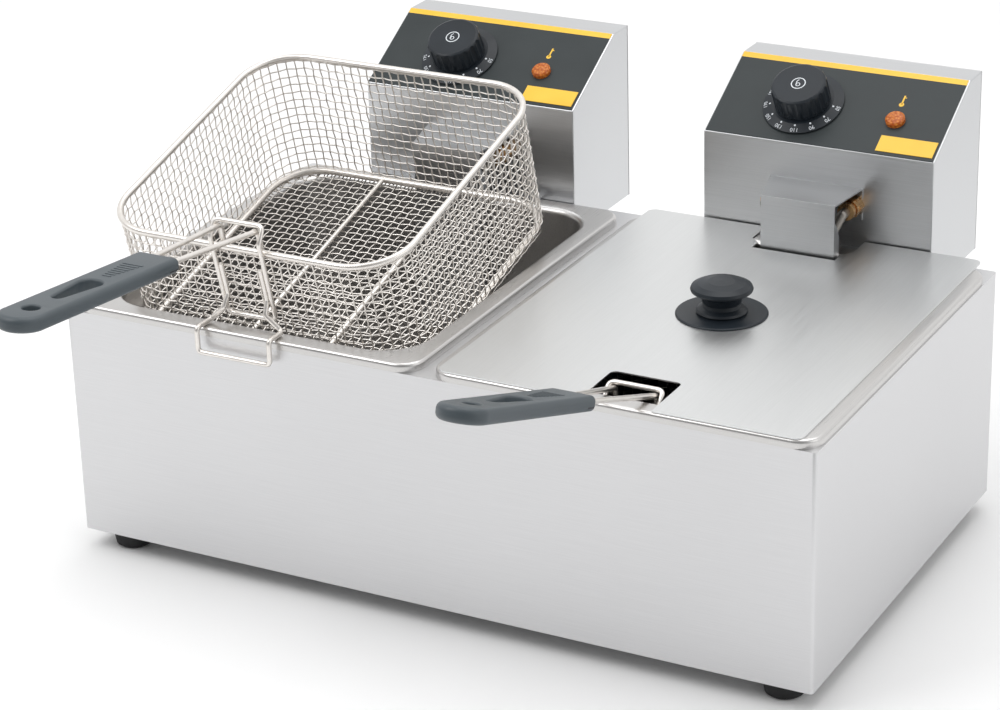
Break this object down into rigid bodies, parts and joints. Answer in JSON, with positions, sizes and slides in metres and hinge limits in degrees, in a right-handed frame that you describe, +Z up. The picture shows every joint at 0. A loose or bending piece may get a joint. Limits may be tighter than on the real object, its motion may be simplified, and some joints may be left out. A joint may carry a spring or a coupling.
{
  "type": "deep fryer",
  "caption": "Countertop electric deep fryer with side-by-side lift-out tanks, wire baskets, lift-off control heads and a notched flat lid.",
  "frame": {"origin": "centre of the whole object's footprint box, on the worktop", "axes": "+X to the user's right, +Y to the back, +Z up; the handles point to -Y"},
  "size_m": [0.55, 0.6702, 0.3031],
  "materials": {
    "body_steel": "fine brushed grain along the width",
    "plain_steel": "plain mill finish",
    "tank_steel": "satin, pressed",
    "lid_steel": "fine brushed grain front to back",
    "nickel_wire": "satin nickel plate",
    "grip_plastic": "fine moulded texture",
    "knob_plastic": "satin",
    "panel_film": "printed film, satin",
    "yellow_film": "printed film, satin",
    "amber_lens": "faceted amber lens",
    "ceramic_body": "moulded phenolic and steatite",
    "switch_plastic": "moulded",
    "element_sheath": "annealed, slightly oxidised",
    "brass": "plain",
    "rubber": "moulded"
  },
  "bodies": {
    "base": {"body_shell": "body_steel", "base_plate": "plain_steel", "feet": "rubber", "foot_screws": "plain_steel"},
    "tank_l_body": {"tank_l": "tank_steel"},
    "head_l": {"head_housing_l": "body_steel", "head_back_l": "plain_steel", "back_screws_l": "plain_steel", "head_hanger_l": "plain_steel", "control_panel_l": "panel_film", "panel_stripe_l": "yellow_film", "blank_plate_l": "yellow_film", "lamp_l": "amber_lens", "thermostat_l": "ceramic_body", "limit_switch_l": "switch_plastic", "terminal_block_l": "ceramic_body", "cable_gland_l": "switch_plastic", "element_l": "element_sheath", "element_nuts_l": "brass", "sensor_bulbs_l": "plain_steel", "element_cover_l": "body_steel"},
    "dial_l": {"knob_l": "knob_plastic", "dial_skirt_l": "knob_plastic", "dial_shaft_l": "plain_steel"},
    "basket_l": {"basket_mesh_l": "nickel_wire", "basket_frame_l": "nickel_wire", "handle_wires_l": "nickel_wire", "handle_grip_l": "grip_plastic", "drain_hook_l": "nickel_wire"},
    "tank_r_body": {"tank_r": "tank_steel"},
    "head_r": {"head_housing_r": "body_steel", "head_back_r": "plain_steel", "back_screws_r": "plain_steel", "head_hanger_r": "plain_steel", "control_panel_r": "panel_film", "panel_stripe_r": "yellow_film", "blank_plate_r": "yellow_film", "lamp_r": "amber_lens", "thermostat_r": "ceramic_body", "limit_switch_r": "switch_plastic", "terminal_block_r": "ceramic_body", "cable_gland_r": "switch_plastic", "element_r": "element_sheath", "element_nuts_r": "brass", "sensor_bulbs_r": "plain_steel", "element_cover_r": "body_steel"},
    "dial_r": {"knob_r": "knob_plastic", "dial_skirt_r": "knob_plastic", "dial_shaft_r": "plain_steel"},
    "basket_r": {"basket_mesh_r": "nickel_wire", "basket_frame_r": "nickel_wire", "handle_wires_r": "nickel_wire", "handle_grip_r": "grip_plastic"},
    "lid": {"lid_plate": "lid_steel", "lid_disc": "knob_plastic", "lid_knob": "knob_plastic", "lid_screw": "plain_steel"}
  },
  "joints": [
    {"name": "tank_l_lift", "type": "slide", "parent": "base", "child": "tank_l_body", "axis": [0, 0, 1], "range_m": [0, 0.2]},
    {"name": "head_l_lift", "type": "slide", "parent": "tank_l_body", "child": "head_l", "axis": [0, 0, 1], "range_m": [0, 0.2]},
    {"name": "dial_l_turn", "type": "hinge", "parent": "head_l", "child": "dial_l", "pos_m": [-0.1599, 0.25892, 0.26946], "axis": [0, 0.4892, -0.8722], "range_deg": [0, 280]},
    {"name": "basket_l_lift", "type": "slide", "parent": "head_l", "child": "basket_l", "axis": [0, 0, 1], "range_m": [0, 0.15]},
    {"name": "tank_r_lift", "type": "slide", "parent": "base", "child": "tank_r_body", "axis": [0, 0, 1], "range_m": [0, 0.2]},
    {"name": "head_r_lift", "type": "slide", "parent": "tank_r_body", "child": "head_r", "axis": [0, 0, 1], "range_m": [0, 0.2]},
    {"name": "dial_r_turn", "type": "hinge", "parent": "head_r", "child": "dial_r", "pos_m": [0.1171, 0.25892, 0.26946], "axis": [0, 0.4892, -0.8722], "range_deg": [0, 280]},
    {"name": "basket_r_lift", "type": "slide", "parent": "head_r", "child": "basket_r", "axis": [0, 0, 1], "range_m": [0, 0.15]},
    {"name": "lid_lift", "type": "slide", "parent": "basket_r", "child": "lid", "axis": [0, 0, 1], "range_m": [0, 0.2]}
  ]
}
